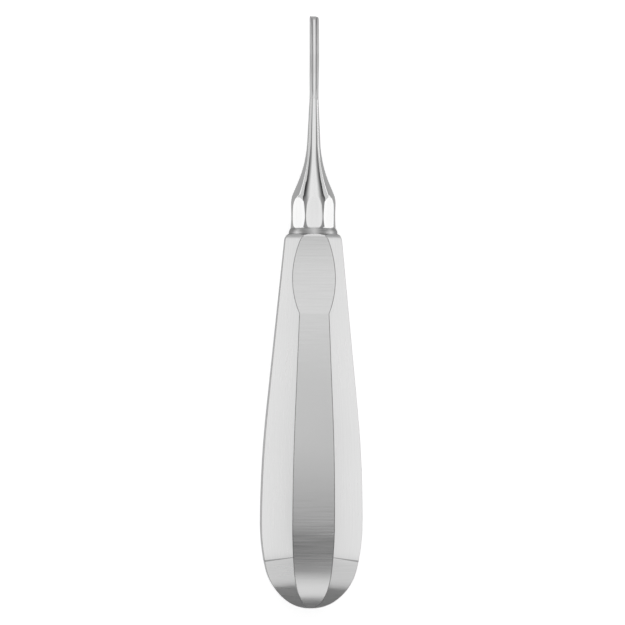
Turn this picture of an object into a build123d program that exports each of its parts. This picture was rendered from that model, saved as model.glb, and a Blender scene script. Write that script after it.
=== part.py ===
from build123d import *
from math import asin, atan2, cos, degrees, hypot, radians, sin, tan
import os

os.makedirs("parts", exist_ok=True)

# A dental elevator, lying at rest with its thumb scoop and its gouge facing up.
# It has a hollow eight-sided handle, and a polished working end (bolster, slender
# shank and bent gouge blade) whose hidden spigot is seated in the handle's neck.
# Sizes are millimetres and degrees. A width is measured across opposite flats.
facet_count = 8

# Handle: a pear outline of tangent arcs, then a straight taper up to the shoulder
belly_width = 24.55
butt_turn = 36.8
cheek_radius = 13.4
cheek_turn = 40.0
flank_radius = 49.5
belly_radius = 285.0
taper_angle = 5.55
handle_wall = 1.0

# Top of the handle: a rolled shoulder trimmed by a cone, and a round collar
shoulder_at = 89.75
shoulder_radius = 2.3
shoulder_turn = 48.0
shoulder_cone_angle = 66.0
collar_height = 1.32
collar_inset = 0.05
collar_top_radius = 5.5
collar_bulge = 0.15
neck_plug_length = 9.0

# Thumb scoop: one crosswise hollow in the front flat, running out over the shoulder
scoop_length = 19.4
scoop_depth = 2.0
scoop_overrun = 1.5

# Spigot of the working end, in the bore of the neck
spigot_diameter = 6.0
spigot_length = 11.0
spigot_clearance = 0.03

# Working end: heights are measured along the tool's axis from the top of the collar
working_length = 52.2

# Bolster: eight waisted flats, with softened corners that fade into a round taper
bolster_foot_width = 10.9
waist_width = 10.44
waist_height = 2.3
waist_radius = 20.0
bolster_width = 10.84
bolster_height = 7.7
bolster_top_radius = 8.0
corner_radius = 5.62
corner_foot_height = 0.7
corner_foot_blend = 0.7
corner_top_height = 6.9

# Shank: tapers to a slender neck, then widens a little into the blade
shank_root_width = 3.62
shank_root_height = 15.8
shank_root_radius = 28.5
shank_neck_width = 2.08
shank_neck_to_blade = 7.0
shank_neck_radius = 60.0
shank_corner_ease = 0.05

# Blade: bent to the back, hollowed to a gouge in front, with uneven nose corners
blade_width = 2.2
blade_height = 38.9
bend_radius = 47.0
flute_radius = 1.15
flute_floor_height = 0.05
flute_floor_drop = 0.9406
flute_run_out_radius = 36.0
flute_run_out_turn = 15.5
nose_left_radius = 0.45
nose_right_radius = 0.95

# Outline of the handle: the arc at its very end closes what the others leave
half_belly = belly_width / 2
butt_end_turn = radians(butt_turn)
cheek_end_turn = radians(butt_turn + cheek_turn)
butt_radius = (
    half_belly
    - cheek_radius * (sin(cheek_end_turn) - sin(butt_end_turn))
    - flank_radius * (1 - sin(cheek_end_turn))
) / sin(butt_end_turn)
belly_at = (
    butt_radius * (1 - cos(butt_end_turn))
    + cheek_radius * (cos(butt_end_turn) - cos(cheek_end_turn))
    + flank_radius * cos(cheek_end_turn)
)
taper = radians(taper_angle)
taper_at = belly_at + belly_radius * sin(taper)
taper_half_width = half_belly - belly_radius * (1 - cos(taper))
shoulder_half_width = taper_half_width - (shoulder_at - taper_at) * tan(taper)
roll_end = radians(taper_angle + shoulder_turn)
roll_top_at = shoulder_at + shoulder_radius * (sin(roll_end) - sin(taper))
roll_top_radius = shoulder_half_width - shoulder_radius * (cos(taper) - cos(roll_end))
collar_foot_radius = roll_top_radius - collar_inset
neck_at = roll_top_at + collar_height
cavity_top_at = neck_at - neck_plug_length

# Scoop: the radius that gives its length and depth, and its centre above the flat
scoop_radius = (scoop_length**2 / 4 + scoop_depth**2) / (2 * scoop_depth)
scoop_middle_at = shoulder_at + scoop_overrun - scoop_length / 2 * cos(taper)
scoop_flat = shoulder_half_width + (shoulder_at - scoop_middle_at) * tan(taper)
scoop_rise = scoop_radius - scoop_depth
scoop_centre = (
    scoop_flat + scoop_rise * cos(taper),
    scoop_middle_at + scoop_rise * sin(taper),
)

# The blade's centre line, and its lowest point at rest: the back edge of the nose
bend_at = neck_at + blade_height
nose_length = working_length - blade_height
bend = asin(nose_length / bend_radius)
nose_centre_drop = bend_radius * (1 - cos(bend))
nose_back_at = bend_at + nose_length - blade_width / 2 * sin(bend)
nose_back_drop = nose_centre_drop + blade_width / 2 * cos(bend)

# The flute's centre line: a run-out arc that falls into the blade, then its bend
fall = asin(flute_floor_drop / (bend_radius * bend))
run_out = fall + radians(flute_run_out_turn)
flute_start_at = bend_at - flute_run_out_radius * (sin(run_out) - sin(fall))
flute_start_height = (
    flute_floor_height + flute_radius + flute_run_out_radius * (cos(fall) - cos(run_out))
)
edge_height = flute_floor_height - flute_floor_drop

# Rest: the tool lies on the curve of its belly and on its nose, so its axis dips
# towards the nose by the angle of the line that touches both
belly_centre_height = belly_radius - half_belly
nose_reach = hypot(nose_back_at - belly_at, nose_back_drop + belly_centre_height)
nose_slope = atan2(nose_back_drop + belly_centre_height, nose_back_at - belly_at)
dip = asin(belly_radius / nose_reach) - nose_slope
axis_height = belly_radius * (1 - cos(dip)) + half_belly * cos(dip) + belly_at * sin(dip)
butt_end = butt_radius * (cos(dip) - 1)
nose_end = (
    (neck_at + working_length) * cos(dip)
    - nose_centre_drop * sin(dip)
    + edge_height * sin(bend + dip)
)
tool = Plane(
    origin=(0, -(nose_end + butt_end) / 2, axis_height),
    x_dir=(1, 0, 0),
    z_dir=(0, sin(dip), cos(dip)),
)


def axis_plane(turn):
    """The plane through the tool's axis, seen from the front at 0 and from the left at 90."""
    across = tool.x_dir * cos(radians(turn)) + tool.z_dir * sin(radians(turn))
    return Plane(origin=tool.origin, x_dir=across, z_dir=across.cross(tool.y_dir))


def cross_plane(at):
    """The plane square to the tool's axis at a distance from the handle's bottom end."""
    return Plane(origin=tool.origin + tool.y_dir * at, x_dir=tool.x_dir, z_dir=tool.y_dir)


def faceted(draw_half_outline):
    """A bar with flats all round: one outline, crossed with itself about the axis."""
    with BuildPart() as bar:
        for index in range(facet_count // 2):
            with BuildSketch(axis_plane(index * 360 / facet_count)):
                with BuildLine():
                    draw_half_outline()
                    mirror(about=Plane.YZ)
                make_face()
            extrude(amount=belly_width, both=True, mode=Mode.INTERSECT if index else Mode.ADD)
    return bar.part


def turned(draw_half_outline):
    """A round bar: half an outline, closed along the tool's axis and revolved about it."""
    with BuildPart() as bar:
        with BuildSketch(axis_plane(0)):
            with BuildLine():
                draw_half_outline()
            make_face()
        revolve(axis=Axis(tool.origin, tool.y_dir))
    return bar.part


def pear_outline(inset, taper_end):
    """Half of the handle's outline, a distance inside its skin, up to a place on the taper."""
    butt = JernArc((0, inset), (1, 0), butt_radius - inset, butt_turn)
    cheek = JernArc(butt @ 1, butt % 1, cheek_radius - inset, cheek_turn)
    flank_turn = 90 - butt_turn - cheek_turn
    flank = JernArc(cheek @ 1, cheek % 1, flank_radius - inset, flank_turn)
    belly = JernArc(flank @ 1, flank % 1, belly_radius - inset, taper_angle)
    straight = (taper_end - (belly @ 1).Y) / cos(taper)
    return Line(belly @ 1, belly @ 1 + (belly % 1) * straight)


def handle_outline():
    """Half of the outside of the handle, with its rolled shoulder."""
    side = pear_outline(0, shoulder_at)
    roll = JernArc(side @ 1, side % 1, shoulder_radius, shoulder_turn)
    Line(roll @ 1, (0, roll_top_at))


def cavity_outline():
    """Half of the hollow inside the handle, closed under the neck."""
    side = pear_outline(handle_wall, cavity_top_at)
    Line(side @ 1, (0, cavity_top_at))


def shoulder_cone_outline():
    """Half of the cone that trims the handle's top corners into arches."""
    spread = (belly_width - roll_top_radius) / tan(radians(shoulder_cone_angle))
    Polyline(
        (0, roll_top_at),
        (roll_top_radius, roll_top_at),
        (belly_width, roll_top_at - spread),
        (belly_width, -belly_width),
        (0, -belly_width),
        close=True,
    )


def collar_outline():
    """Half of the round collar, which starts inside the top of the handle."""
    foot = Line((0, cavity_top_at), (collar_foot_radius, cavity_top_at))
    side = Line(foot @ 1, (collar_foot_radius, roll_top_at))
    bulge = SagittaArc(side @ 1, (collar_top_radius, neck_at), -collar_bulge)
    Polyline(bulge @ 1, (0, neck_at), (0, cavity_top_at))


def working_outline(foot, foot_radius, tail_ease):
    """Half of an outline of the working end from the end of its foot to the blade."""
    side = FilletPolyline(
        *foot,
        (shank_root_width / 2 + tail_ease, neck_at + shank_root_height),
        (shank_neck_width / 2 + tail_ease, bend_at - shank_neck_to_blade),
        (blade_width / 2 + tail_ease, bend_at),
        radius=(foot_radius, bolster_top_radius, shank_root_radius, shank_neck_radius),
    )
    Line(side @ 1, (0, bend_at))
    Line((0, neck_at), side @ 0)


def flats_outline():
    """Half of the outline through the flats of the bolster and the shank."""
    foot = (
        (bolster_foot_width / 2, neck_at),
        (waist_width / 2, neck_at + waist_height),
        (bolster_width / 2, neck_at + bolster_height),
    )
    working_outline(foot, waist_radius, 0)


def corners_outline():
    """Half of the outline that softens the corners between the flats."""
    foot = (
        (collar_top_radius, neck_at),
        (corner_radius, neck_at + corner_foot_height),
        (corner_radius, neck_at + corner_top_height),
    )
    working_outline(foot, corner_foot_blend, shank_corner_ease)
    Line((0, neck_at), (0, bend_at))


# Hollow inside the handle, which keeps its wall behind the scoop
pear_hollow = faceted(cavity_outline)
with BuildPart() as cavity:
    add(pear_hollow)
    with BuildSketch(axis_plane(90)):
        with Locations(scoop_centre):
            Circle(scoop_radius + handle_wall)
    extrude(amount=belly_width, both=True, mode=Mode.SUBTRACT)

# Handle
pear = faceted(handle_outline)
shoulder_cone = turned(shoulder_cone_outline)
collar = turned(collar_outline)
with BuildPart() as handle:
    add(pear)
    add(shoulder_cone, mode=Mode.INTERSECT)
    add(collar)
    with BuildSketch(axis_plane(90)):
        with Locations(scoop_centre):
            Circle(scoop_radius)
    extrude(amount=belly_width, both=True, mode=Mode.SUBTRACT)
    add(cavity.part, mode=Mode.SUBTRACT)
    with BuildSketch(cross_plane(neck_at)):
        Circle(spigot_diameter / 2 + spigot_clearance)
    extrude(amount=-spigot_length - spigot_clearance, mode=Mode.SUBTRACT)
handle.part.label = "handle"
export_step(handle.part, "parts/handle.step")

# Working end
flats = faceted(flats_outline)
corners = turned(corners_outline)
with BuildPart() as working_end:
    add(flats)
    add(corners, mode=Mode.INTERSECT)
    with BuildSketch(cross_plane(neck_at)):
        Circle(spigot_diameter / 2)
    extrude(amount=-spigot_length)
    with BuildLine(axis_plane(90)):
        blade_line = JernArc((0, bend_at), (0, 1), bend_radius, degrees(bend))
    with BuildSketch(cross_plane(bend_at)):
        RegularPolygon(
            blade_width / 2,
            facet_count,
            major_radius=False,
            rotation=180 / facet_count,
        )
    sweep(path=blade_line)
    with BuildLine(axis_plane(90)) as flute_line:
        entry = JernArc(
            (flute_start_height, flute_start_at),
            (-sin(run_out), cos(run_out)),
            flute_run_out_radius,
            -flute_run_out_turn,
        )
        JernArc(entry @ 1, entry % 1, bend_radius, degrees(bend + fall))
    with BuildSketch(Plane(origin=entry @ 0, x_dir=tool.x_dir, z_dir=entry % 0)):
        Circle(flute_radius)
    sweep(path=flute_line.line, mode=Mode.SUBTRACT)
    nose_plane = Plane(
        origin=blade_line @ 1,
        x_dir=tool.x_dir,
        z_dir=tool.x_dir.cross(blade_line % 1),
    )
    with BuildSketch(nose_plane):
        for side, radius in ((-1, nose_left_radius), (1, nose_right_radius)):
            with Locations((side * blade_width / 2, 0)):
                Rectangle(2 * radius, 2 * radius)
            with Locations((side * (blade_width / 2 - radius), -radius)):
                Circle(radius, mode=Mode.SUBTRACT)
    extrude(amount=blade_width, both=True, mode=Mode.SUBTRACT)
working_end.part.label = "working_end"
export_step(working_end.part, "parts/working_end.step")
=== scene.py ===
from math import asin, atan2, ceil, cos, hypot, pi, radians, sin, sqrt, tan

import bmesh
import bpy
from mathutils import Matrix, Vector

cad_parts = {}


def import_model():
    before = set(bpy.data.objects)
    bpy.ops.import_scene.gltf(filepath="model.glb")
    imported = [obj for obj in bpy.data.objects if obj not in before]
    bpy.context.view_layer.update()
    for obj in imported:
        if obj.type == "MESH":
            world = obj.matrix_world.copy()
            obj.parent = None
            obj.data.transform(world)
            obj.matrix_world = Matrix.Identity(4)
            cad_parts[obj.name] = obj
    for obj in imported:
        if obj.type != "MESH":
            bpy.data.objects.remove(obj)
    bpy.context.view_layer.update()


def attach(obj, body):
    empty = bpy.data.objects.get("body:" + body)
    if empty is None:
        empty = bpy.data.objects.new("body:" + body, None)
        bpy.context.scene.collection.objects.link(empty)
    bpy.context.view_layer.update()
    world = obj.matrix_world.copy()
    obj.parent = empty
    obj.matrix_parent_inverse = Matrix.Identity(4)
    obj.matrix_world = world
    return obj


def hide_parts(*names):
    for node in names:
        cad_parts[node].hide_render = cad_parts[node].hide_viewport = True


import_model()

MM = 0.001

# Sizes of the solid model, in metres and radians. A width is across opposite flats.
SIDES = 8
SIDE_TURN = 2 * pi / SIDES

# Handle
BELLY_WIDTH = 24.55 * MM
BUTT_TURN = radians(36.8)
CHEEK_RADIUS = 13.4 * MM
CHEEK_TURN = radians(40.0)
FLANK_RADIUS = 49.5 * MM
BELLY_RADIUS = 285.0 * MM
TAPER = radians(5.55)
SHOULDER_AT = 89.75 * MM
SHOULDER_RADIUS = 2.3 * MM
SHOULDER_TURN = radians(48.0)
SHOULDER_CONE = radians(66.0)
COLLAR_HEIGHT = 1.32 * MM
COLLAR_INSET = 0.05 * MM
COLLAR_TUCK = 0.2 * MM
COLLAR_TOP_RADIUS = 5.5 * MM
COLLAR_BULGE = 0.15 * MM
SCOOP_LENGTH = 19.4 * MM
SCOOP_DEPTH = 2.0 * MM
SCOOP_OVERRUN = 1.5 * MM

# Working end: heights are measured from the top of the collar
WORKING_LENGTH = 52.2 * MM
BOLSTER_FOOT_WIDTH = 10.9 * MM
WAIST_WIDTH = 10.44 * MM
WAIST_HEIGHT = 2.3 * MM
WAIST_RADIUS = 20.0 * MM
BOLSTER_WIDTH = 10.84 * MM
BOLSTER_HEIGHT = 7.7 * MM
BOLSTER_TOP_RADIUS = 8.0 * MM
CORNER_RADIUS = 5.62 * MM
CORNER_FOOT_HEIGHT = 0.7 * MM
CORNER_FOOT_BLEND = 0.7 * MM
CORNER_TOP_HEIGHT = 6.9 * MM
SHANK_ROOT_WIDTH = 3.62 * MM
SHANK_ROOT_HEIGHT = 15.8 * MM
SHANK_ROOT_RADIUS = 28.5 * MM
SHANK_NECK_WIDTH = 2.08 * MM
SHANK_NECK_TO_BLADE = 7.0 * MM
SHANK_NECK_RADIUS = 60.0 * MM
SHANK_CORNER_EASE = 0.05 * MM
BLADE_WIDTH = 2.2 * MM
BLADE_HEIGHT = 38.9 * MM
BEND_RADIUS = 47.0 * MM
FLUTE_RADIUS = 1.15 * MM
FLUTE_FLOOR_HEIGHT = 0.05 * MM
FLUTE_FLOOR_DROP = 0.9406 * MM
FLUTE_RUN_OUT_RADIUS = 36.0 * MM
FLUTE_RUN_OUT_TURN = radians(15.5)
NOSE_LEFT_RADIUS = 0.45 * MM
NOSE_RIGHT_RADIUS = 0.95 * MM

# What follows from those sizes
HALF_BELLY = BELLY_WIDTH / 2
CHEEK_END = BUTT_TURN + CHEEK_TURN
BUTT_RADIUS = (
    HALF_BELLY
    - CHEEK_RADIUS * (sin(CHEEK_END) - sin(BUTT_TURN))
    - FLANK_RADIUS * (1 - sin(CHEEK_END))
) / sin(BUTT_TURN)
BELLY_AT = (
    BUTT_RADIUS * (1 - cos(BUTT_TURN))
    + CHEEK_RADIUS * (cos(BUTT_TURN) - cos(CHEEK_END))
    + FLANK_RADIUS * cos(CHEEK_END)
)
TAPER_AT = BELLY_AT + BELLY_RADIUS * sin(TAPER)
TAPER_HALF_WIDTH = HALF_BELLY - BELLY_RADIUS * (1 - cos(TAPER))
SHOULDER_HALF_WIDTH = TAPER_HALF_WIDTH - (SHOULDER_AT - TAPER_AT) * tan(TAPER)
ROLL_END = TAPER + SHOULDER_TURN
ROLL_TOP_AT = SHOULDER_AT + SHOULDER_RADIUS * (sin(ROLL_END) - sin(TAPER))
ROLL_TOP_RADIUS = SHOULDER_HALF_WIDTH - SHOULDER_RADIUS * (cos(TAPER) - cos(ROLL_END))
NECK_AT = ROLL_TOP_AT + COLLAR_HEIGHT
SCOOP_RADIUS = (SCOOP_LENGTH**2 / 4 + SCOOP_DEPTH**2) / (2 * SCOOP_DEPTH)
SCOOP_MIDDLE_AT = SHOULDER_AT + SCOOP_OVERRUN - SCOOP_LENGTH / 2 * cos(TAPER)
SCOOP_FLAT = SHOULDER_HALF_WIDTH + (SHOULDER_AT - SCOOP_MIDDLE_AT) * tan(TAPER)
SCOOP_RISE = SCOOP_RADIUS - SCOOP_DEPTH
SCOOP_CENTRE_AT = SCOOP_MIDDLE_AT + SCOOP_RISE * sin(TAPER)
SCOOP_CENTRE_HEIGHT = SCOOP_FLAT + SCOOP_RISE * cos(TAPER)
BEND_AT = NECK_AT + BLADE_HEIGHT
BEND = asin((WORKING_LENGTH - BLADE_HEIGHT) / BEND_RADIUS)
NOSE_AT = BEND_AT + BEND_RADIUS * BEND
NOSE_CENTRE_DROP = BEND_RADIUS * (1 - cos(BEND))
NOSE_BACK_AT = NECK_AT + WORKING_LENGTH - BLADE_WIDTH / 2 * sin(BEND)
NOSE_BACK_DROP = NOSE_CENTRE_DROP + BLADE_WIDTH / 2 * cos(BEND)
FLUTE_FALL = asin(FLUTE_FLOOR_DROP / (BEND_RADIUS * BEND))
RUN_OUT = FLUTE_FALL + FLUTE_RUN_OUT_TURN
FLUTE_START_AT = BEND_AT - FLUTE_RUN_OUT_RADIUS * (sin(RUN_OUT) - sin(FLUTE_FALL))
FLUTE_START_HEIGHT = (
    FLUTE_FLOOR_HEIGHT + FLUTE_RADIUS + FLUTE_RUN_OUT_RADIUS * (cos(FLUTE_FALL) - cos(RUN_OUT))
)
EDGE_HEIGHT = FLUTE_FLOOR_HEIGHT - FLUTE_FLOOR_DROP

# The tool rests on its belly and its nose, so its axis dips towards the nose
BELLY_CENTRE_HEIGHT = BELLY_RADIUS - HALF_BELLY
NOSE_REACH = hypot(NOSE_BACK_AT - BELLY_AT, NOSE_BACK_DROP + BELLY_CENTRE_HEIGHT)
NOSE_SLOPE = atan2(NOSE_BACK_DROP + BELLY_CENTRE_HEIGHT, NOSE_BACK_AT - BELLY_AT)
DIP = asin(BELLY_RADIUS / NOSE_REACH) - NOSE_SLOPE
AXIS_HEIGHT = BELLY_RADIUS * (1 - cos(DIP)) + HALF_BELLY * cos(DIP) + BELLY_AT * sin(DIP)
BUTT_END = BUTT_RADIUS * (cos(DIP) - 1)
NOSE_END = (
    (NECK_AT + WORKING_LENGTH) * cos(DIP)
    - NOSE_CENTRE_DROP * sin(DIP)
    + EDGE_HEIGHT * sin(BEND + DIP)
)
ACROSS = Vector((1, 0, 0))
ALONG = Vector((0, cos(DIP), -sin(DIP)))
OUT = Vector((0, sin(DIP), cos(DIP)))
BUTT_POLE = Vector((0, -(NOSE_END + BUTT_END) / 2, AXIS_HEIGHT))

# Edges: how far they are rounded over, and the most that may be: the softness as a share of a
# flat's distance from the axis, and the blend as a share of its width
SATIN_EDGE = 0.07 * MM
SATIN_EDGE_BLEND = 0.07 * MM
POLISHED_EDGE = 0.1 * MM
POLISHED_EDGE_BLEND = 1.2 * MM
EDGE_SHARE = 0.1
BLEND_SHARE = 0.3

# How finely the meshes are cut
ARC_STEP = radians(1.5)
LONG_ARC_STEP = ARC_STEP / 4
SHANK_ARC_STEP = ARC_STEP / 2
SHOULDER_ARC_STEP = ARC_STEP * 2
SHOULDER_STEP = 0.06 * MM
TAPER_STEP = 2.0 * MM
SHANK_STEP = 0.4 * MM
BLADE_STEP = 0.2 * MM
NOSE_STEP = 0.04 * MM
COLLAR_STEPS = 12
FLUTE_COLUMNS = 96
FLAT_COLUMNS = 7
CORNER_COLUMNS = 4
CLOSE = 0.001 * MM
STATION_GAP = 5 * CLOSE
SEARCH_HALVINGS = 40
SEARCH_REACH = 0.9 * SCOOP_RADIUS

# Whole numbers in a node tree carry a little error: how near they have to be to count as equal,
# and what is added before one is rounded down
SAME_NUMBER = 0.5
ROUNDING_ROOM = 0.001

# Steel: its colours, its roughness from 0 for a mirror to 1, and its relief
SATIN = (0.70, 0.70, 0.70, 1)
POLISH = (0.82, 0.82, 0.82, 1)
CROSSWISE_ROUGHNESS = 0.23
LENGTHWISE_ROUGHNESS = 0.3
TURNED_ROUGHNESS = 0.45
MIRROR_ROUGHNESS = 0.07
BLADE_ROUGHNESS = 0.3
BLADE_FINISH_FROM = (BUTT_POLE + ALONG * (FLUTE_START_AT + BLADE_WIDTH)).y
BLADE_FINISH_BLEND = 0.5 * MM
RELIEF = 0.002 * MM

# How far the grain stretches a highlight, and a quarter of a turn, for grain that runs crosswise
GRAIN_STRETCH = 0.8
QUARTER_TURN = 0.25

# The slanted line near the bottom end, where the lengthwise grinding gives way to crosswise. The
# grain really changes there; the dark line along it is painted, a painted reflection of a panel's
# end. Its slant and its width are shares of the distance from the tool's middle line. Its core is
# fully dark, and it fades out at its rim: both are shares of that width.
GRAIN_SWITCH_AT = 13.9 * MM
GRIND_SLANT = 0.19
PAINTED_LINE_SPREAD = 0.02
PAINTED_LINE_CORE = 0.5
PAINTED_LINE_RIM = 1.2
PAINTED_LINE_DARKNESS = 0.5

# A place past every piece's end, for a finish that is crosswise all over
WHOLE_PIECE = 1000 * MM

# Grain and edges: lines, streaks and patches to a metre, with how much finer detail they hold,
# and how much each changes the steel. The satin edges are smoother from wear, and darker by
# painted shade, a dark line that stands in for their reflection.
GRAIN_LINES = 2600.0
GRAIN_STREAKS = 60.0
GRAIN_DETAIL = 3.0
GRAIN_FINENESS = 0.6
GRAIN_TONE = 0.16
GRAIN_ROUGHNESS = 0.14
PAINTED_EDGE_SHADE = 0.38
EDGE_ROUGHNESS = 0.1
EDGE_PATCHES = 180.0
EDGE_PATCH_LEAST = 0.6
EDGE_PATCH_SPREAD = 0.5
PATCH_DETAIL = 2.0
HANDLING_PATCHES = 45.0
HANDLING_TONE = 0.05
HANDLING_ROUGHNESS = 0.1
POLISH_LINES = 2500.0
POLISH_STREAKS = 90.0
POLISH_TONE = 0.05
POLISH_ROUGHNESS = 0.06
SMUDGE_PATCHES = 140.0
SMUDGE_TONE = 0.05
SMUDGE_ROUGHNESS = 0.05
POLISHED_EDGE_TONE = 0.04
WAVE_PATCHES = 160.0
NOISE_MIDDLE = 0.5

# The photograph: its scale, the place on the axis that it looks at, how the tool is turned in it
# and its camera
PHOTO_WIDTH = 625
PHOTO_MM_PER_PIXEL = 0.244
AIM_AT = 72.2 * MM
VIEW_TURN = radians(3.0)
VIEW_LEAN = radians(0.41)
CAMERA_DISTANCE = 1.2
CLIP_NEAR = 0.01
CLIP_FAR = 20
SENSOR_WIDTH = 36.0

# Floor and lamp
FLOOR_SIZE = 6
FLOOR_COLOUR = (0.9, 0.9, 0.9, 1)
FLOOR_ROUGHNESS = 0.9
FLOOR_LIFT = 0.6
LAMP_PLACE = Vector((0, 100 * MM, 800 * MM))
LAMP_SIZE = 0.8
LAMP_STRENGTH = 0.5

# The room that the steel reflects: how bright it is, and over which directions that changes
CEILING_LEVEL = 0.08
TIP_LIGHT = 0.84
TIP_LIGHT_RAMP = (-0.04, 0.18)
BUTT_LIGHT = 0.9
BUTT_LIGHT_RAMP = (0.07, 0.92)
WALL_FOOT_LEVEL = 0.03
WALL_TOP_LEVEL = 0.3
WALL_RAMP = (0.2, 0.7)
FLANK_RAMP = (0.25, 0.65)

# Glowing cards above the tool. A reach goes from a card's centre to the middle of a side.
FORWARD = Vector((0, 1, 0))
CEILING_CARD_CENTRE = Vector((0, 20 * MM, 75 * MM))
CEILING_CARD_REACH = 42 * MM
CEILING_CARD_LEVEL = 0.82
CEILING_CARD_FADE = 0.5
BOLSTER_CARD_CENTRE = Vector((0, 34 * MM, 73 * MM))
BOLSTER_CARD_REACH_ACROSS = 40 * MM
BOLSTER_CARD_REACH_FORWARD = 32 * MM
BOLSTER_CARD_LEVEL = 0.91
BOLSTER_CARD_FADE = 0.6

# Cards that stand beside the tool: their places and ends are measured from its bottom end
SIDE_CARD_ACROSS = 32 * MM
SIDE_CARD_OUT = 6 * MM
SIDE_CARD_REACH = 16 * MM
SIDE_CARD_FOOT_AT = 5.7 * MM
SIDE_CARD_TOP_AT = 108 * MM
LEFT_CARD_LEVEL = 1.13
RIGHT_CARD_LEVEL = 1.15
BUTT_CARD_OUT = 4 * MM
BUTT_CARD_REACH = 18 * MM
BUTT_CARD_LENGTH = 25 * MM
BUTT_CARD_LEVEL = 0.88
FAR_CARD_ACROSS = 100 * MM
FAR_CARD_OUT = 15 * MM
FAR_CARD_REACH = 30 * MM
FAR_CARD_TOP_AT = 190 * MM
FAR_CARD_LEVEL = 0.7

# Cards that lie on the floor: dim cards, seen only in the steel, which make the floor it reflects
# darker than the lit floor is, around the tool and past its bottom end: painted shade of the
# floor
UNDER_CARD_CENTRE = Vector((0, 0, 0.5 * MM))
UNDER_CARD_REACH_ACROSS = 50 * MM
UNDER_CARD_REACH_FORWARD = 80 * MM
UNDER_SHADE_LEVEL = 0.42
BUTT_FLOOR_CARD_CENTRE = Vector((0, -540 * MM, 0.5 * MM))
BUTT_FLOOR_CARD_REACH_ACROSS = 300 * MM
BUTT_FLOOR_CARD_REACH_FORWARD = 460 * MM
BUTT_FLOOR_SHADE_LEVEL = 0.2


# Outlines: lists of (distance along the tool's axis, distance from the axis)


def arc_points(start, heading, radius, turn, step=ARC_STEP):
    """Points along an arc that leaves start at an angle from the axis and turns by an angle."""
    count = max(2, ceil(abs(turn) / step))
    side = 1 if turn > 0 else -1
    centre = (start[0] - side * radius * sin(heading), start[1] + side * radius * cos(heading))
    points = []
    for index in range(1, count + 1):
        angle = heading + turn * index / count
        points.append(
            (centre[0] + side * radius * sin(angle), centre[1] - side * radius * cos(angle))
        )
    return points


def line_points(start, end, step):
    """Points along a straight line, about a step apart."""
    count = max(1, ceil(hypot(end[0] - start[0], end[1] - start[1]) / step))
    return [
        (
            start[0] + (end[0] - start[0]) * index / count,
            start[1] + (end[1] - start[1]) * index / count,
        )
        for index in range(1, count + 1)
    ]


def filleted(corners, radii, step):
    """A line through corners, with an arc of its own radius at each inner one."""
    points = [corners[0]]
    for before, corner, after, radius in zip(corners, corners[1:], corners[2:], radii):
        heading = atan2(corner[1] - before[1], corner[0] - before[0])
        turn = atan2(after[1] - corner[1], after[0] - corner[0]) - heading
        cut = radius * tan(abs(turn) / 2)
        arc_start = (corner[0] - cut * cos(heading), corner[1] - cut * sin(heading))
        points.append(arc_start)
        points += arc_points(arc_start, heading, radius, turn, step)
    points.append(corners[-1])
    return points


def width_at(outline, at):
    """The distance from the axis that an outline has at a place along the axis."""
    for (at_a, width_a), (at_b, width_b) in zip(outline, outline[1:]):
        if at_a <= at <= at_b and at_b > at_a:
            return width_a + (width_b - width_a) * (at - at_a) / (at_b - at_a)
    return outline[-1][1] if at > outline[-1][0] else outline[0][1]


def scoop_height(at):
    """The height of the scoop's hollow above the axis, or one past every flat beyond its ends."""
    reach = at - SCOOP_CENTRE_AT
    if abs(reach) >= SCOOP_RADIUS:
        return BELLY_WIDTH
    return SCOOP_CENTRE_HEIGHT - sqrt(SCOOP_RADIUS**2 - reach**2)


def meeting_place(outline, low, high):
    """Where the scoop cuts through the front flat, between two places along the axis."""
    starts_above = scoop_height(low) > width_at(outline, low)
    for _ in range(SEARCH_HALVINGS):
        middle = (low + high) / 2
        if (scoop_height(middle) > width_at(outline, middle)) == starts_above:
            low = middle
        else:
            high = middle
    return low


def pear_outline():
    """Half of the handle's outline, from its bottom end to the top of its shoulder."""
    points = [(0, 0)]
    points += arc_points(points[-1], pi / 2, BUTT_RADIUS, -BUTT_TURN)
    points += arc_points(points[-1], pi / 2 - BUTT_TURN, CHEEK_RADIUS, -CHEEK_TURN)
    points += arc_points(points[-1], pi / 2 - CHEEK_END, FLANK_RADIUS, CHEEK_END - pi / 2)
    points += arc_points(points[-1], 0, BELLY_RADIUS, -TAPER, LONG_ARC_STEP)
    points += line_points(points[-1], (SHOULDER_AT, SHOULDER_HALF_WIDTH), TAPER_STEP)
    points += arc_points(points[-1], -TAPER, SHOULDER_RADIUS, -SHOULDER_TURN, SHOULDER_ARC_STEP)
    return points


# Sections: one for each station along a piece


def station(at, flat, front=None, trim=None):
    """A section with eight flats, its front one cut lower, and its corners trimmed round."""
    trim = BELLY_WIDTH if trim is None else trim
    front = flat if front is None else front
    return {"at": at, "flat": min(flat, trim), "front": min(front, flat, trim), "trim": trim}


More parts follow.
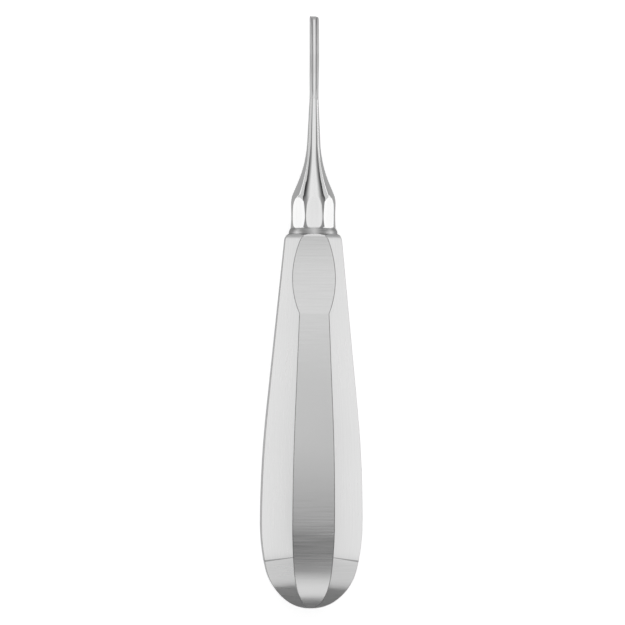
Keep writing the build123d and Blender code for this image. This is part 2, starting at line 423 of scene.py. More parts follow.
def handle_stations():
    """The handle's skin: the pear, with its scoop, its trimmed shoulder and a closed top."""
    outline = pear_outline()
    scoop_foot = meeting_place(outline, SCOOP_CENTRE_AT - SEARCH_REACH, SCOOP_CENTRE_AT)
    scoop_head = meeting_place(outline, SCOOP_CENTRE_AT, ROLL_TOP_AT)
    places = [at for at, width in outline]
    for edge in (scoop_foot, scoop_head):
        places += [edge - SATIN_EDGE, edge, edge + SATIN_EDGE]
    scoop_steps = ceil((scoop_head - scoop_foot) / (SCOOP_RADIUS * ARC_STEP))
    for index in range(1, scoop_steps):
        places.append(scoop_foot + (scoop_head - scoop_foot) * index / scoop_steps)
    shoulder_steps = ceil((ROLL_TOP_AT - SHOULDER_AT) / SHOULDER_STEP)
    for index in range(1, shoulder_steps):
        places.append(SHOULDER_AT + (ROLL_TOP_AT - SHOULDER_AT) * index / shoulder_steps)
    stations = []
    for at in sorted(places):
        if stations and at - stations[-1]["at"] < STATION_GAP:
            continue
        trim = ROLL_TOP_RADIUS + (ROLL_TOP_AT - at) * tan(SHOULDER_CONE)
        stations.append(station(at, width_at(outline, at), scoop_height(at), trim))
    stations.append(station(ROLL_TOP_AT, 0))
    return stations


def collar_stations():
    """The round collar, closed inside the shoulder and under the bolster."""
    foot_radius = ROLL_TOP_RADIUS - COLLAR_INSET
    foot_at = ROLL_TOP_AT - COLLAR_TUCK
    stations = [station(foot_at, 0), station(foot_at, foot_radius, None, foot_radius)]
    for index in range(COLLAR_STEPS + 1):
        share = index / COLLAR_STEPS
        bulge = COLLAR_BULGE * 4 * share * (1 - share)
        radius = foot_radius + (COLLAR_TOP_RADIUS - foot_radius) * share + bulge
        stations.append(station(ROLL_TOP_AT + COLLAR_HEIGHT * share, radius, None, radius))
    stations.append(station(NECK_AT, 0))
    return stations


def working_outline(foot, foot_radius, tail_ease):
    """Half of an outline of the working end, from its foot to where the blade bends."""
    corners = [
        *foot,
        (NECK_AT + SHANK_ROOT_HEIGHT, SHANK_ROOT_WIDTH / 2 + tail_ease),
        (BEND_AT - SHANK_NECK_TO_BLADE, SHANK_NECK_WIDTH / 2 + tail_ease),
        (BEND_AT, BLADE_WIDTH / 2 + tail_ease),
    ]
    radii = (foot_radius, BOLSTER_TOP_RADIUS, SHANK_ROOT_RADIUS, SHANK_NECK_RADIUS)
    return filleted(corners, radii, SHANK_ARC_STEP)


def working_stations():
    """The bolster, the shank and the blade, closed at the collar and at the nose."""
    flats = working_outline(
        (
            (NECK_AT, BOLSTER_FOOT_WIDTH / 2),
            (NECK_AT + WAIST_HEIGHT, WAIST_WIDTH / 2),
            (NECK_AT + BOLSTER_HEIGHT, BOLSTER_WIDTH / 2),
        ),
        WAIST_RADIUS,
        0,
    )
    corners = working_outline(
        (
            (NECK_AT, COLLAR_TOP_RADIUS),
            (NECK_AT + CORNER_FOOT_HEIGHT, CORNER_RADIUS),
            (NECK_AT + CORNER_TOP_HEIGHT, CORNER_RADIUS),
        ),
        CORNER_FOOT_BLEND,
        SHANK_CORNER_EASE,
    )
    places = [at for at, width in flats + corners]
    places += [at for at, width in line_points((NECK_AT, 0), (BEND_AT, 0), SHANK_STEP)]
    stations = [station(NECK_AT, 0)]
    for at in sorted(places):
        if at - stations[-1]["at"] < STATION_GAP and len(stations) > 1:
            continue
        stations.append(station(at, width_at(flats, at), None, width_at(corners, at)))
    nose_foot = NOSE_AT - NOSE_RIGHT_RADIUS
    blade = line_points((BEND_AT, 0), (nose_foot, 0), BLADE_STEP)
    blade += line_points((nose_foot, 0), (NOSE_AT, 0), NOSE_STEP)
    for at, width in blade:
        stations.append(station(at, BLADE_WIDTH / 2))
    stations.append(station(NOSE_AT, 0))
    return stations


def spine_place(at):
    """The place and the heading of the tool's centre line: straight, then bent to the back."""
    turn = max(0, at - BEND_AT) / BEND_RADIUS
    straight = min(at, BEND_AT)
    drop = BEND_RADIUS * (1 - cos(turn))
    place = BUTT_POLE + ALONG * (straight + BEND_RADIUS * sin(turn)) - OUT * drop
    return place, ALONG * cos(turn) - OUT * sin(turn)


# Node trees


class Field:
    """A value in a node tree, which is added, multiplied and compared as a number is."""

    def __init__(self, tree, socket):
        self.tree = tree
        self.socket = socket

    def math(self, operation, *others):
        node = self.tree.nodes.new("ShaderNodeMath")
        node.operation = operation
        for socket, value in zip(node.inputs, (self, *others)):
            feed(self.tree, value, socket)
        return Field(self.tree, node.outputs[0])

    def __add__(self, other):
        return self.math("ADD", other)

    def __sub__(self, other):
        return self.math("SUBTRACT", other)

    def __mul__(self, other):
        return self.math("MULTIPLY", other)

    def __truediv__(self, other):
        return self.math("DIVIDE", other)

    def __rsub__(self, other):
        return self.math("MULTIPLY", -1.0) + other

    def __neg__(self):
        return self.math("MULTIPLY", -1.0)

    def least(self, other):
        return self.math("MINIMUM", other)

    def most(self, other):
        return self.math("MAXIMUM", other)

    def above(self, other):
        return self.math("GREATER_THAN", other)

    def whole(self):
        """The value without what is past the point."""
        return (self + ROUNDING_ROOM).math("FLOOR")

    def equals(self, other):
        """1 where two whole numbers are the same, and 0 elsewhere."""
        return self.math("COMPARE", other, SAME_NUMBER)

    def reaches(self, other):
        """1 where a whole number is another one or more, and 0 elsewhere."""
        return self.above(other - SAME_NUMBER)


def ramp(value, low, high):
    """Rises smoothly from 0 to 1 as a field goes from low to high."""
    share = ((value - low) / (high - low)).most(0.0).least(1.0)
    return share * share * (share * -2.0 + 3.0)


def feed(tree, value, socket):
    """Sets a socket to a plain value, or links it to a field or another socket."""
    if isinstance(value, Field):
        value = value.socket
    if isinstance(value, bpy.types.NodeSocket):
        tree.links.new(value, socket)
    else:
        socket.default_value = value


def add_node(tree, kind, inputs=(), **settings):
    """Adds a node, with its settings, and feeds its inputs by name or by number."""
    node = tree.nodes.new(kind)
    for name, value in settings.items():
        setattr(node, name, value)
    for key, value in dict(inputs).items():
        feed(tree, value, node.inputs[key])
    return node


def add_sockets(tree, direction, sockets):
    """Gives a node tree its named inputs or outputs."""
    for name, kind in sockets:
        tree.interface.new_socket(name, in_out=direction, socket_type="NodeSocket" + kind)


def faceted_bar_tree():
    """Skins a spine with sections of eight flats, whose corners are softened or trimmed.

    The spine is a row of points. Each holds its heading and its section: the distance of
    the flats from the axis, that of the front flat, and the radius that trims the corners.
    """
    tree = bpy.data.node_groups.new("faceted bar", "GeometryNodeTree")
    add_sockets(
        tree,
        "INPUT",
        (
            ("Spine", "Geometry"),
            ("Flat columns", "Int"),
            ("Corner columns", "Int"),
            ("Edge softness", "Float"),
            ("Edge blend", "Float"),
            ("Crosswise finish", "Material"),
            ("Lengthwise finish", "Material"),
        ),
    )
    add_sockets(tree, "OUTPUT", (("Skin", "Geometry"),))
    given = tree.nodes.new("NodeGroupInput").outputs
    flat_columns = Field(tree, given["Flat columns"])
    corner_columns = Field(tree, given["Corner columns"])
    side_columns = flat_columns + corner_columns
    size = add_node(tree, "GeometryNodeAttributeDomainSize", {"Geometry": given["Spine"]})
    stations = Field(tree, size.outputs["Point Count"])
    grid = add_node(
        tree,
        "GeometryNodeMeshGrid",
        {"Vertices X": side_columns * SIDES + 1, "Vertices Y": stations},
    )
    index = Field(tree, tree.nodes.new("GeometryNodeInputIndex").outputs[0])
    column = (index / stations).whole()
    row = index - column * stations
    side = (column / side_columns).whole()
    local = column - side * side_columns

    def sampled(name, vector=False):
        """A value that the spine holds, at this row's station."""
        kind = "FLOAT_VECTOR" if vector else "FLOAT"
        source = add_node(tree, "GeometryNodeInputNamedAttribute", {"Name": name}, data_type=kind)
        sample = add_node(
            tree,
            "GeometryNodeSampleIndex",
            {"Geometry": given["Spine"], "Value": source.outputs[0], "Index": row},
            data_type=kind,
        )
        return sample.outputs[0] if vector else Field(tree, sample.outputs[0])

    flat = sampled("flat")
    front = sampled("front")
    trim = sampled("trim")
    soft = Field(tree, given["Edge softness"]).least(flat * EDGE_SHARE)

    def distance(turned):
        """The distance from the axis of this flat, or of one some sides further round."""
        is_front = (side + turned).math("MODULO", SIDES).equals(0)
        return flat + (front - flat) * is_front

    def corner(own, neighbour):
        """How far along a flat its corner with the next flat lies."""
        return (neighbour - own * cos(SIDE_TURN)) / sin(SIDE_TURN)

    def clipped(own, neighbour):
        """How far along a flat it reaches, past which its corner is soft or trimmed."""
        room = (trim * trim - own * own).most(0).math("SQRT")
        return (corner(own, neighbour) - soft).least(room)

    def bearing(turned):
        """The direction that this flat faces, or one some sides further round."""
        return (side + turned) * SIDE_TURN

    own = distance(0)
    following = distance(1)
    left = -clipped(own, distance(SIDES - 1))
    right = clipped(own, following)
    next_left = -clipped(following, own)
    blend = Field(tree, given["Edge blend"]).least((right - left) * BLEND_SHARE)
    inner = ((local - 1) / (flat_columns - 2)).most(0).least(1)
    at_left_edge = (-local).reaches(0)
    at_right_edge = local.reaches(flat_columns)
    across = left + blend + (right - left - blend * 2) * inner
    across = across + blend * at_right_edge - blend * at_left_edge
    on_corner = local.reaches(flat_columns + 1)
    share = (local - flat_columns) / corner_columns
    start_turn = bearing(0) + right.math("ARCTAN2", own)
    end_turn = bearing(1) + next_left.math("ARCTAN2", following)
    start_reach = (right * right + own * own).math("SQRT")
    end_reach = (next_left * next_left + following * following).math("SQRT")
    corner_turn = start_turn + (end_turn - start_turn) * share
    corner_reach = start_reach + (end_reach - start_reach) * share
    flat_turn = bearing(0) + across.math("ARCTAN2", own)
    flat_reach = (across * across + own * own).math("SQRT")
    turn = flat_turn + (corner_turn - flat_turn) * on_corner
    reach = flat_reach + (corner_reach - flat_reach) * on_corner
    heading = sampled("heading", vector=True)
    place = add_node(
        tree,
        "GeometryNodeSampleIndex",
        {
            "Geometry": given["Spine"],
            "Value": tree.nodes.new("GeometryNodeInputPosition").outputs[0],
            "Index": row,
        },
        data_type="FLOAT_VECTOR",
    )
    outward = add_node(
        tree, "ShaderNodeVectorMath", {0: tuple(ACROSS), 1: heading}, operation="CROSS_PRODUCT"
    )
    sideways = add_node(
        tree,
        "ShaderNodeVectorMath",
        {0: tuple(ACROSS), "Scale": reach * turn.math("SINE")},
        operation="SCALE",
    )
    upward = add_node(
        tree,
        "ShaderNodeVectorMath",
        {0: outward.outputs[0], "Scale": reach * turn.math("COSINE")},
        operation="SCALE",
    )
    offset = add_node(
        tree, "ShaderNodeVectorMath", {0: sideways.outputs[0], 1: upward.outputs[0]}
    )
    position = add_node(
        tree, "ShaderNodeVectorMath", {0: place.outputs[0], 1: offset.outputs[0]}
    )
    skinned = add_node(
        tree,
        "GeometryNodeSetPosition",
        {"Geometry": grid.outputs["Mesh"], "Position": position.outputs[0]},
    )
    edged = add_node(
        tree,
        "GeometryNodeStoreNamedAttribute",
        {
            "Geometry": skinned.outputs[0],
            "Name": "edge",
            "Value": at_right_edge.most(at_left_edge),
        },
        data_type="FLOAT",
        domain="POINT",
    )
    around_corner = (end_turn - start_turn) * start_reach * share * on_corner
    surface = add_node(
        tree,
        "ShaderNodeCombineXYZ",
        {"X": side * BELLY_WIDTH + across + around_corner, "Y": sampled("at")},
    )
    on_points = add_node(
        tree,
        "GeometryNodeFieldOnDomain",
        {"Value": surface.outputs[0]},
        data_type="FLOAT_VECTOR",
        domain="POINT",
    )
    unwrapped = add_node(
        tree,
        "GeometryNodeStoreNamedAttribute",
        {"Geometry": edged.outputs[0], "Name": "UVMap", "Value": on_points.outputs[0]},
        data_type="FLOAT2",
        domain="CORNER",
    )
    rows_of_faces = stations - 1
    face_side = (index / rows_of_faces / side_columns).whole()
    marked = add_node(
        tree,
        "GeometryNodeStoreNamedAttribute",
        {
            "Geometry": unwrapped.outputs[0],
            "Name": "front_or_back",
            "Value": face_side.math("MODULO", SIDES / 2).equals(0),
        },
        data_type="FLOAT",
        domain="FACE",
    )
    merged = add_node(
        tree, "GeometryNodeMergeByDistance", {"Geometry": marked.outputs[0], "Distance": CLOSE}
    )
    smooth = add_node(tree, "GeometryNodeSetShadeSmooth", {"Geometry": merged.outputs[0]})
    real = add_node(tree, "GeometryNodeRealizeInstances", {"Geometry": smooth.outputs[0]})
    lengthwise = add_node(
        tree,
        "GeometryNodeSetMaterial",
        {"Geometry": real.outputs[0], "Material": given["Lengthwise finish"]},
    )
    front_or_back = add_node(
        tree, "GeometryNodeInputNamedAttribute", {"Name": "front_or_back"}, data_type="FLOAT"
    )
    crosswise = add_node(
        tree,
        "GeometryNodeSetMaterial",
        {
            "Geometry": lengthwise.outputs[0],
            "Selection": Field(tree, front_or_back.outputs[0]).reaches(1),
            "Material": given["Crosswise finish"],
        },
    )
    result = tree.nodes.new("NodeGroupOutput")
    tree.links.new(crosswise.outputs[0], result.inputs["Skin"])
    return tree


def run_tree(piece, tree, settings):
    """Puts a piece's mesh through a geometry node tree, with these values for its inputs."""
    modifier = piece.modifiers.new(tree.name, "NODES")
    modifier.node_group = tree
    for item in tree.interface.items_tree:
        if item.in_out == "INPUT" and item.name in settings:
            modifier[item.identifier] = settings[item.name]
    depsgraph = bpy.context.evaluated_depsgraph_get()
    made = piece.evaluated_get(depsgraph)
    piece.data = bpy.data.meshes.new_from_object(
        made, preserve_all_data_layers=True, depsgraph=depsgraph
    )
    piece.modifiers.clear()


def skinned_piece(name, stations, tree, settings):
    """A mesh object: the stations' spine, skinned by the faceted bar tree."""
    spine = bpy.data.meshes.new(name + "_spine")
    places = [spine_place(entry["at"]) for entry in stations]
    spine.from_pydata([place for place, heading in places], [], [])
    for key in ("at", "flat", "front", "trim"):
        values = [entry[key] for entry in stations]
        spine.attributes.new(key, "FLOAT", "POINT").data.foreach_set("value", values)
    headings = [part for place, heading in places for part in heading]
    spine.attributes.new("heading", "FLOAT_VECTOR", "POINT").data.foreach_set("vector", headings)
    carrier = bpy.data.objects.new(name + "_spine", spine)
    bpy.context.scene.collection.objects.link(carrier)
    run_tree(carrier, tree, settings)
    carrier.name = carrier.data.name = name
    return carrier


def round_nose(blade):
    """Rounds the two corners of the nose, each with its own radius."""
    nose, heading = spine_place(NOSE_AT)
    for vertex in blade.data.vertices:
        before_nose = (nose - vertex.co).dot(heading)
        radius = NOSE_RIGHT_RADIUS if vertex.co.x > 0 else NOSE_LEFT_RADIUS
        if before_nose < radius and vertex.co.y > 0:
            inside = sqrt(max(0, radius**2 - (radius - before_nose) ** 2))
            limit = BLADE_WIDTH / 2 - radius + inside
            vertex.co.x = max(-limit, min(limit, vertex.co.x))


def flute_line():
    """The line that the flute's hollow follows: it falls into the blade, then bends with it."""
    start = (FLUTE_START_AT, FLUTE_START_HEIGHT)
    points = [start]
    points += arc_points(start, -RUN_OUT, FLUTE_RUN_OUT_RADIUS, FLUTE_RUN_OUT_TURN, LONG_ARC_STEP)
    points += arc_points(points[-1], -FLUTE_FALL, BEND_RADIUS, -BEND - FLUTE_FALL, LONG_ARC_STEP)
    data = bpy.data.curves.new("flute_line", "CURVE")
    data.dimensions = "3D"
    spline = data.splines.new("POLY")
    spline.points.add(len(points) - 1)
    for point, (at, height) in zip(spline.points, points):
        point.co = (*(BUTT_POLE + ALONG * at + OUT * height), 1)
    line = bpy.data.objects.new("flute_line", data)
    bpy.context.scene.collection.objects.link(line)
    return line


def gouge_tree():
    """Cuts a round flute along a line, and keeps its rims sharp."""
    tree = bpy.data.node_groups.new("gouge", "GeometryNodeTree")
    add_sockets(
        tree,
        "INPUT",
        (
            ("Blade", "Geometry"),
            ("Flute line", "Object"),
            ("Flute radius", "Float"),
            ("Finish", "Material"),
        ),
    )
    add_sockets(tree, "OUTPUT", (("Gouge", "Geometry"),))
    given = tree.nodes.new("NodeGroupInput").outputs
    line = add_node(tree, "GeometryNodeObjectInfo", {"Object": given["Flute line"]})
    round_section = add_node(
        tree,
        "GeometryNodeCurvePrimitiveCircle",
        {"Resolution": FLUTE_COLUMNS, "Radius": given["Flute radius"]},
    )
    cutter = add_node(
        tree,
        "GeometryNodeCurveToMesh",
        {
            "Curve": line.outputs["Geometry"],
            "Profile Curve": round_section.outputs["Curve"],
            "Fill Caps": True,
        },
    )
    cut = add_node(
        tree,
        "GeometryNodeMeshBoolean",
        {0: given["Blade"], 1: cutter.outputs[0]},
        operation="DIFFERENCE",
        solver="EXACT",
    )
    rims = add_node(
        tree,
        "GeometryNodeSetShadeSmooth",
        {"Geometry": cut.outputs["Mesh"], 1: cut.outputs["Intersecting Edges"], 2: False},
        domain="EDGE",
    )
    real = add_node(tree, "GeometryNodeRealizeInstances", {"Geometry": rims.outputs[0]})
    finish = add_node(
        tree,
        "GeometryNodeSetMaterial",
        {"Geometry": real.outputs[0], "Material": given["Finish"]},
    )
    result = tree.nodes.new("NodeGroupOutput")
    tree.links.new(finish.outputs[0], result.inputs["Gouge"])
    return tree


def recalculate_normals(piece):
    """Turns every face of a closed mesh outwards."""
    shape = bmesh.new()
    shape.from_mesh(piece.data)
    bmesh.ops.recalc_face_normals(shape, faces=shape.faces)
    shape.to_mesh(piece.data)
    shape.free()


# Materials


def surface_place(tree):
    """Where a point lies on the skin: across the flats and along the tool, in metres."""
    unwrapped = add_node(tree, "ShaderNodeUVMap", uv_map="UVMap")
    place = add_node(tree, "ShaderNodeSeparateXYZ", {0: unwrapped.outputs[0]})
    return Field(tree, place.outputs["X"]), Field(tree, place.outputs["Y"])


def stretched_noise(tree, across, along, across_scale, along_scale):
    """Noise on the skin, from 0 to 1, with its own fineness each way."""
    place = add_node(
        tree, "ShaderNodeCombineXYZ", {"X": across * across_scale, "Y": along * along_scale}
    )
    noise = add_node(
        tree,
        "ShaderNodeTexNoise",
        {
            "Vector": place.outputs[0],
            "Scale": 1.0,
            "Detail": GRAIN_DETAIL,
            "Roughness": GRAIN_FINENESS,
        },
        noise_dimensions="2D",
    )
    return Field(tree, noise.outputs["Fac"])


def cloudy_noise(tree, scale):
    """Soft patches in the piece's own space, from 0 to 1, so many to a metre."""
    place = tree.nodes.new("ShaderNodeTexCoord").outputs["Object"]
    noise = add_node(
        tree, "ShaderNodeTexNoise", {"Vector": place, "Scale": scale, "Detail": PATCH_DETAIL}
    )
    return Field(tree, noise.outputs["Fac"])


def toned(tree, colour, tone):
    """A colour, made lighter or darker by a field."""
    mixed = add_node(tree, "ShaderNodeVectorMath", {0: colour, "Scale": tone}, operation="SCALE")
    return mixed.outputs[0]


def finish_group(name, inputs):
    """An empty shader node group that gives a colour, a roughness and a height for a bump."""
    tree = bpy.data.node_groups.new(name, "ShaderNodeTree")
    add_sockets(tree, "INPUT", inputs)
    add_sockets(
        tree, "OUTPUT", (("Colour", "Color"), ("Roughness", "Float"), ("Height", "Float"))
    )
    given = tree.nodes.new("NodeGroupInput").outputs
    return tree, given, tree.nodes.new("NodeGroupOutput").inputs


def ground_finish():
    """Belt-ground steel: fine lines, edges smoother from wear and darkened by painted shade, and
    faint marks of handling.

    The lines run across the piece below a place along it, and lengthwise past that. Where they
    meet is a painted dark line, a painted reflection of a panel's end, slanted from the middle to
    both sides.
    """
    tree, given, result = finish_group(
        "ground finish",
        (
            ("Colour", "Color"),
            ("Roughness", "Float"),
            ("Crosswise below", "Float"),
            ("Painted line darkness", "Float"),
        ),
    )
    across, along = surface_place(tree)
    crosswise_grain = stretched_noise(tree, across, along, GRAIN_STREAKS, GRAIN_LINES)
    lengthwise_grain = stretched_noise(tree, across, along, GRAIN_LINES, GRAIN_STREAKS)
    place = add_node(
        tree,
        "ShaderNodeSeparateXYZ",
        {0: tree.nodes.new("ShaderNodeTexCoord").outputs["Object"]},
    )
    sideways = Field(tree, place.outputs["X"]).math("ABSOLUTE")
    before_line = Field(tree, given["Crosswise below"]) - sideways * GRIND_SLANT - along
    is_crosswise = before_line.above(0.0)
    grain = lengthwise_grain + (crosswise_grain - lengthwise_grain) * is_crosswise
    # A dark line painted along the grain's switch: a painted reflection of a panel's end, not a
    # mark in the steel
    painted_line_width = sideways * PAINTED_LINE_SPREAD
    off_painted_line = before_line.math("ABSOLUTE") / painted_line_width
    line = 1.0 - ramp(off_painted_line, PAINTED_LINE_CORE, PAINTED_LINE_RIM)
    # The soft edges, in patches: darker by painted shade, which stands in for their reflection,
    # and smoother from wear
    edge = add_node(tree, "ShaderNodeAttribute", attribute_name="edge").outputs["Fac"]
    edge_patches = cloudy_noise(tree, EDGE_PATCHES) * EDGE_PATCH_SPREAD + EDGE_PATCH_LEAST
    edge_line = Field(tree, edge) * edge_patches.least(1.0)
    handled = cloudy_noise(tree, HANDLING_PATCHES) - NOISE_MIDDLE
    # The tone holds the grain and the marks of handling, less the painted shade on the edges and
    # the painted reflection line
    tone = (
        (grain - NOISE_MIDDLE) * GRAIN_TONE
        + handled * HANDLING_TONE
        + 1.0
        - edge_line * PAINTED_EDGE_SHADE
        - line * Field(tree, given["Painted line darkness"])
    )
    feed(tree, toned(tree, given["Colour"], tone), result["Colour"])
    roughness = Field(tree, given["Roughness"]) + (grain - NOISE_MIDDLE) * GRAIN_ROUGHNESS
    roughness = roughness + handled * HANDLING_ROUGHNESS - edge_line * EDGE_ROUGHNESS
    feed(tree, roughness, result["Roughness"])
    feed(tree, grain, result["Height"])
    return tree


def mirror_finish():
    """Polished steel: faint polishing lines, a breath of smudge and a slightly wavy face.

    Past a place along the piece its roughness rises to that of a finely ground blade.
    """
    tree, given, result = finish_group(
        "mirror finish",
        (
            ("Colour", "Color"),
            ("Roughness", "Float"),
            ("Blade roughness", "Float"),
            ("Blade from", "Float"),
        ),
    )
    place = tree.nodes.new("ShaderNodeTexCoord").outputs["Object"]
    parts = add_node(tree, "ShaderNodeSeparateXYZ", {0: place})
    past_start = Field(tree, parts.outputs["Y"]) - Field(tree, given["Blade from"])
    on_blade = ramp(past_start, -BLADE_FINISH_BLEND, BLADE_FINISH_BLEND)
    stretch = add_node(
        tree,
        "ShaderNodeVectorMath",
        {0: place, 1: (POLISH_LINES, POLISH_STREAKS, POLISH_LINES)},
        operation="MULTIPLY",
    )
    noise = add_node(
        tree,
        "ShaderNodeTexNoise",
        {"Vector": stretch.outputs[0], "Scale": 1.0, "Detail": GRAIN_DETAIL},
    )
    lines = Field(tree, noise.outputs["Fac"]) - NOISE_MIDDLE
    smudge = cloudy_noise(tree, SMUDGE_PATCHES) - NOISE_MIDDLE
    edge = add_node(tree, "ShaderNodeAttribute", attribute_name="edge").outputs["Fac"]
    edge_line = Field(tree, edge) * POLISHED_EDGE_TONE
    tone = lines * POLISH_TONE + smudge * SMUDGE_TONE + 1.0 + edge_line
    feed(tree, toned(tree, given["Colour"], tone), result["Colour"])
    polished = Field(tree, given["Roughness"])
    roughness = polished + (Field(tree, given["Blade roughness"]) - polished) * on_blade
    roughness = roughness + lines * POLISH_ROUGHNESS
    feed(tree, roughness + smudge * SMUDGE_ROUGHNESS, result["Roughness"])
    feed(tree, cloudy_noise(tree, WAVE_PATCHES), result["Height"])
    return tree


def steel(name, group, settings, stretch=0.0, stretch_turn=0.0):
    """A metal, whose finish comes from a node group.

    Its highlights may be stretched across the grain, and that turned by a share of a full turn.
    """
    material = bpy.data.materials.new(name)
    material.use_nodes = True
    tree = material.node_tree
    shader = tree.nodes["Principled BSDF"]
    finish = add_node(tree, "ShaderNodeGroup", settings, node_tree=group)
    feed(tree, finish.outputs["Colour"], shader.inputs["Base Color"])
    feed(tree, finish.outputs["Roughness"], shader.inputs["Roughness"])
    bump = add_node(
        tree,
        "ShaderNodeBump",
        {"Height": finish.outputs["Height"], "Distance": RELIEF, "Strength": 1.0},
    )
    feed(tree, bump.outputs[0], shader.inputs["Normal"])
    shader.inputs["Metallic"].default_value = 1
    shader.inputs["Anisotropic"].default_value = stretch
    shader.inputs["Anisotropic Rotation"].default_value = stretch_turn
    if stretch:
        tangent = add_node(tree, "ShaderNodeTangent", direction_type="UV_MAP", uv_map="UVMap")
        tree.links.new(tangent.outputs[0], shader.inputs["Tangent"])
    return material


ground = ground_finish()
mirror = mirror_finish()
crosswise_satin = steel(
    "crosswise satin steel",
    ground,
    {
        "Colour": SATIN,
        "Roughness": CROSSWISE_ROUGHNESS,
        "Crosswise below": WHOLE_PIECE,
        "Painted line darkness": 0.0,
    },
    GRAIN_STRETCH,
    QUARTER_TURN,
)
lengthwise_satin = steel(
    "lengthwise satin steel",
    ground,
    {
        "Colour": SATIN,
        "Roughness": LENGTHWISE_ROUGHNESS,
        "Crosswise below": GRAIN_SWITCH_AT,
        "Painted line darkness": PAINTED_LINE_DARKNESS,
    },
    GRAIN_STRETCH,
)
turned_satin = steel(
    "turned satin steel",
    ground,
    {
        "Colour": SATIN,
        "Roughness": TURNED_ROUGHNESS,
        "Crosswise below": WHOLE_PIECE,
        "Painted line darkness": 0.0,
    },
)
polished_steel = steel(
    "polished steel",
    mirror,
    {
        "Colour": POLISH,
        "Roughness": MIRROR_ROUGHNESS,
        "Blade roughness": BLADE_ROUGHNESS,
        "Blade from": BLADE_FINISH_FROM,
    },
)


# Pieces


def bar_settings(edge, edge_blend, crosswise, lengthwise):
    """What the faceted bar tree is given for a piece: its edges and its two finishes."""
    return {
        "Flat columns": FLAT_COLUMNS,
        "Corner columns": CORNER_COLUMNS,
        "Edge softness": edge,
        "Edge blend": edge_blend,
        "Crosswise finish": crosswise,
        "Lengthwise finish": lengthwise,
    }


shell_settings = bar_settings(SATIN_EDGE, SATIN_EDGE_BLEND, crosswise_satin, lengthwise_satin)
collar_settings = bar_settings(SATIN_EDGE, SATIN_EDGE_BLEND, turned_satin, turned_satin)
working_settings = bar_settings(
    POLISHED_EDGE, POLISHED_EDGE_BLEND, polished_steel, polished_steel
)
bar = faceted_bar_tree()
shell = skinned_piece("handle_shell", handle_stations(), bar, shell_settings)
collar = skinned_piece("collar", collar_stations(), bar, collar_settings)
working = skinned_piece("bolster_shank_blade", working_stations(), bar, working_settings)
recalculate_normals(working)
round_nose(working)
guide = flute_line()
run_tree(
    working,
    gouge_tree(),
    {"Flute line": guide, "Flute radius": FLUTE_RADIUS, "Finish": polished_steel},
)
bpy.data.objects.remove(guide)
for piece, node, slot in (
    (shell, "handle", "satin_steel"),
    (collar, "handle", "satin_steel"),
    (working, "working_end", "polished_steel"),
):
    recalculate_normals(piece)
    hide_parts(node)
    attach(piece, "root")


# Floor, light and camera


def camera():
    """Looks square to the tool's axis, from a little to the left, as the photograph does."""
    right = ACROSS * cos(VIEW_TURN) + OUT * sin(VIEW_TURN)
    up = ALONG * cos(VIEW_LEAN) - right * sin(VIEW_LEAN)
    right = right * cos(VIEW_LEAN) + ALONG * sin(VIEW_LEAN)
    back = right.cross(up)
    data = bpy.data.cameras.new("camera")
    data.sensor_width = SENSOR_WIDTH
    data.lens = SENSOR_WIDTH * CAMERA_DISTANCE / (PHOTO_WIDTH * PHOTO_MM_PER_PIXEL * MM)
    data.clip_start = CLIP_NEAR
    data.clip_end = CLIP_FAR
    seen_from = bpy.data.objects.new("camera", data)
    bpy.context.scene.collection.objects.link(seen_from)
    target = BUTT_POLE + ALONG * AIM_AT
    turn = Matrix((right, up, back)).transposed().to_4x4()
    seen_from.matrix_world = Matrix.Translation(target + back * CAMERA_DISTANCE) @ turn
    bpy.context.scene.camera = seen_from


def floor():
    """A pale floor, lifted to white where it is seen, which keeps the tool's shadow."""
    bpy.ops.mesh.primitive_plane_add(size=FLOOR_SIZE)
    plane = bpy.context.object
    plane.name = "floor"
    material = bpy.data.materials.new("white floor")
    material.use_nodes = True
    tree = material.node_tree
    shader = tree.nodes["Principled BSDF"]
    shader.inputs["Base Color"].default_value = FLOOR_COLOUR
    shader.inputs["Roughness"].default_value = FLOOR_ROUGHNESS
    rays = tree.nodes.new("ShaderNodeLightPath").outputs
    camera_ray = Field(tree, rays["Is Camera Ray"])
    glossy_ray = Field(tree, rays["Is Glossy Ray"])
    clear_ray = Field(tree, rays["Is Transmission Ray"])
    lift = camera_ray.most(glossy_ray).most(clear_ray) * FLOOR_LIFT
    shader.inputs["Emission Color"].default_value = (1, 1, 1, 1)
    feed(tree, lift, shader.inputs["Emission Strength"])
    plane.data.materials.append(material)


def softbox(name, place, size, strength):
    """A square lamp that shines on the floor's middle, unseen by the camera and in the steel."""
    data = bpy.data.lights.new(name, "AREA")
    data.shape = "SQUARE"
    data.size = size
    data.energy = strength * size * size * pi
    lamp = bpy.data.objects.new(name, data)
    bpy.context.scene.collection.objects.link(lamp)
    lamp.location = place
    lamp.rotation_euler = (-place).to_track_quat("-Z", "Y").to_euler()
    lamp.visible_camera = False
    lamp.visible_glossy = False


def tool_point(across, along, out):
    """A place given from the tool's bottom end: to the right, along its axis, and outwards."""
    return BUTT_POLE + ACROSS * across + ALONG * along + OUT * out


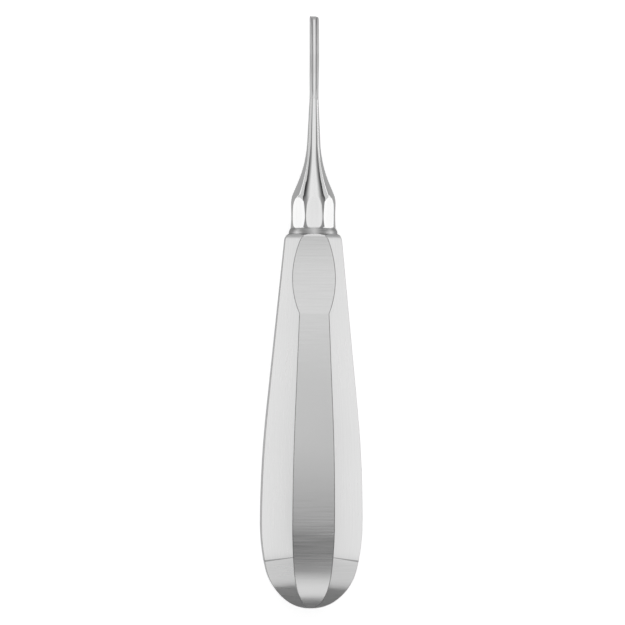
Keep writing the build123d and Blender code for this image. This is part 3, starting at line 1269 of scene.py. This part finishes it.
def card(name, centre, across, along, brightness, fade=0.0):
    """A glowing card, shown only by the steel's reflections, which may fade to its edges.

    It is given by its centre and by the way from there to the middle of two of its sides.
    """
    mesh = bpy.data.meshes.new(name)
    mesh.from_pydata([(-1, -1, 0), (1, -1, 0), (1, 1, 0), (-1, 1, 0)], [], [(0, 1, 2, 3)])
    sheet = bpy.data.objects.new(name, mesh)
    bpy.context.scene.collection.objects.link(sheet)
    facing = across.cross(along).normalized()
    turn = Matrix((across, along, facing)).transposed().to_4x4()
    sheet.matrix_world = Matrix.Translation(centre) @ turn
    sheet.visible_camera = False
    sheet.visible_diffuse = False
    sheet.visible_shadow = False
    material = bpy.data.materials.new(name)
    material.use_nodes = True
    tree = material.node_tree
    tree.nodes.clear()
    glow = add_node(tree, "ShaderNodeEmission", {"Strength": brightness})
    result = tree.nodes.new("ShaderNodeOutputMaterial")
    shown = glow
    if fade:
        place = add_node(
            tree,
            "ShaderNodeSeparateXYZ",
            {0: tree.nodes.new("ShaderNodeTexCoord").outputs["Object"]},
        )
        outermost = Field(tree, place.outputs["X"]).math("ABSOLUTE")
        outermost = outermost.most(Field(tree, place.outputs["Y"]).math("ABSOLUTE"))
        cover = ramp(1.0 - outermost, 0.0, fade)
        clear = tree.nodes.new("ShaderNodeBsdfTransparent")
        shown = add_node(
            tree, "ShaderNodeMixShader", {0: cover, 1: clear.outputs[0], 2: glow.outputs[0]}
        )
    tree.links.new(shown.outputs[0], result.inputs["Surface"])
    mesh.materials.append(material)


def world():
    """A room with a light ceiling along the tool and dark flanks, white to the camera."""
    room = bpy.data.worlds.new("room")
    bpy.context.scene.world = room
    room.use_nodes = True
    tree = room.node_tree
    background = tree.nodes["Background"]
    background.inputs["Color"].default_value = (1, 1, 1, 1)
    direction = add_node(
        tree,
        "ShaderNodeSeparateXYZ",
        {0: tree.nodes.new("ShaderNodeTexCoord").outputs["Generated"]},
    )
    sideways = Field(tree, direction.outputs["X"]).math("ABSOLUTE")
    lengthwise = Field(tree, direction.outputs["Y"])
    upwards = Field(tree, direction.outputs["Z"])
    ceiling = (
        ramp(lengthwise, *TIP_LIGHT_RAMP) * TIP_LIGHT
        + ramp(-lengthwise, *BUTT_LIGHT_RAMP) * BUTT_LIGHT
        + CEILING_LEVEL
    )
    wall = ramp(upwards, *WALL_RAMP) * (WALL_TOP_LEVEL - WALL_FOOT_LEVEL) + WALL_FOOT_LEVEL
    level = wall + (ceiling - wall) * (1.0 - ramp(sideways, *FLANK_RAMP))
    rays = tree.nodes.new("ShaderNodeLightPath").outputs
    seen = Field(tree, rays["Is Camera Ray"])
    feed(tree, level.most(seen), background.inputs["Strength"])


camera()
floor()
softbox("overhead softbox", LAMP_PLACE, LAMP_SIZE, LAMP_STRENGTH)
card(
    "ceiling card",
    CEILING_CARD_CENTRE,
    ACROSS * CEILING_CARD_REACH,
    FORWARD * CEILING_CARD_REACH,
    CEILING_CARD_LEVEL,
    CEILING_CARD_FADE,
)
card(
    "bolster card",
    BOLSTER_CARD_CENTRE,
    ACROSS * BOLSTER_CARD_REACH_ACROSS,
    FORWARD * BOLSTER_CARD_REACH_FORWARD,
    BOLSTER_CARD_LEVEL,
    BOLSTER_CARD_FADE,
)
side_card_middle = (SIDE_CARD_FOOT_AT + SIDE_CARD_TOP_AT) / 2
butt_card_middle = SIDE_CARD_FOOT_AT - BUTT_CARD_LENGTH / 2
for side, side_level in ((-1, LEFT_CARD_LEVEL), (1, RIGHT_CARD_LEVEL)):
    card(
        "side card",
        tool_point(side * SIDE_CARD_ACROSS, side_card_middle, SIDE_CARD_OUT),
        OUT * SIDE_CARD_REACH,
        ALONG * (SIDE_CARD_TOP_AT - SIDE_CARD_FOOT_AT) / 2,
        side_level,
    )
    card(
        "butt side card",
        tool_point(side * SIDE_CARD_ACROSS, butt_card_middle, BUTT_CARD_OUT),
        OUT * BUTT_CARD_REACH,
        ALONG * BUTT_CARD_LENGTH / 2,
        BUTT_CARD_LEVEL,
    )
    card(
        "far side card",
        tool_point(side * FAR_CARD_ACROSS, FAR_CARD_TOP_AT / 2, FAR_CARD_OUT),
        OUT * FAR_CARD_REACH,
        ALONG * FAR_CARD_TOP_AT / 2,
        FAR_CARD_LEVEL,
    )
# Dim cards on the floor, seen only in the steel: painted shade of the floor under and past the
# tool
card(
    "card under the tool",
    UNDER_CARD_CENTRE,
    ACROSS * UNDER_CARD_REACH_ACROSS,
    FORWARD * UNDER_CARD_REACH_FORWARD,
    UNDER_SHADE_LEVEL,
)
card(
    "card past the butt",
    BUTT_FLOOR_CARD_CENTRE,
    ACROSS * BUTT_FLOOR_CARD_REACH_ACROSS,
    FORWARD * BUTT_FLOOR_CARD_REACH_FORWARD,
    BUTT_FLOOR_SHADE_LEVEL,
)
world()
bpy.context.scene.view_settings.view_transform = "Standard"
